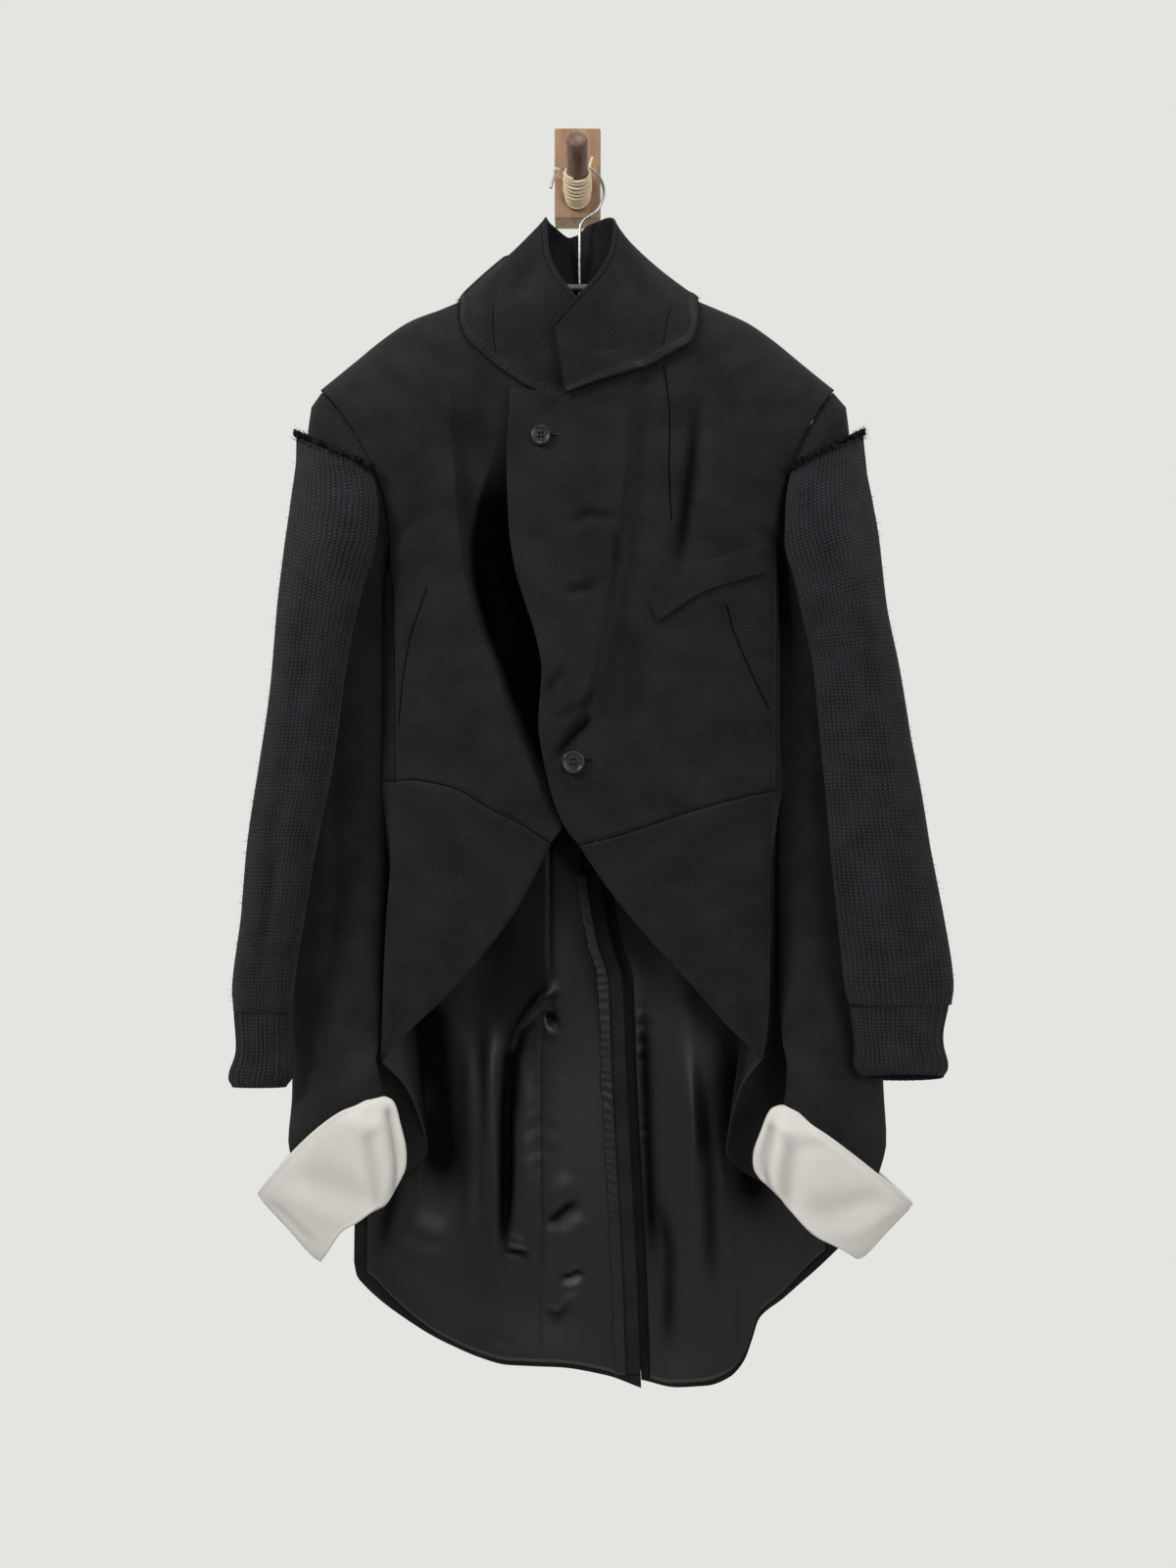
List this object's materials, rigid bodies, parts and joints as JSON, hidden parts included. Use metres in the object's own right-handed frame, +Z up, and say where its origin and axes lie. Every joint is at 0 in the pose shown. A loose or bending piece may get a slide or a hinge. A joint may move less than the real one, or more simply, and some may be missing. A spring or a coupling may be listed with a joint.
{
  "type": "suit jacket on a hanger and wall peg",
  "caption": "Black cutaway tailcoat-style jacket with knit over-sleeves and turned white cuffs, on a wire-hook hanger hung from a wooden wall peg.",
  "frame": {"origin": "centre of the wall plaque's back face", "axes": "+Z up the wall, +Y into the wall, +X to the wearer's left (to the right seen from the front)"},
  "size_m": [0.6795, 0.134, 1.2627],
  "materials": {
    "suiting": "matt black wool suiting, fine twill",
    "suiting_under": "the same suiting on the hidden back and side bodies",
    "collar_linen": "slubby charcoal linen, zigzag-sewn and raw below",
    "knit_wool": "navy-black stocking stitch and rib",
    "black_satin": "black satin lining with a soft sheen",
    "white_satin": "off-white satin",
    "button_horn": "black four-hole buttons",
    "steel": "bright wire",
    "grey_bar": "dark grey",
    "plaque_wood": "warm brown, satin",
    "peg_wood": "darker brown, satin",
    "jute": "tan twine"
  },
  "bodies": {
    "root": {"front_left": "suiting", "front_right": "suiting", "skirt_left": "suiting", "skirt_right": "suiting", "sleeve_left": "suiting", "sleeve_right": "suiting", "breast_welt": "suiting", "vent_facing": "suiting", "side_left": "suiting_under", "side_right": "suiting_under", "back_left": "suiting_under", "back_right": "suiting_under", "collar_left": "collar_linen", "collar_right": "collar_linen", "knit_sleeve_left": "knit_wool", "knit_sleeve_right": "knit_wool", "rib_cuff_left": "knit_wool", "rib_cuff_right": "knit_wool", "tail_lining_left": "black_satin", "tail_lining_right": "black_satin", "turned_cuff_left": "white_satin", "turned_cuff_right": "white_satin", "button_chest": "button_horn", "button_waist": "button_horn", "hanger_hook": "steel", "hanger_bar": "grey_bar", "wall_plaque": "plaque_wood", "peg": "peg_wood", "twine": "jute"}
  },
  "joints": []
}
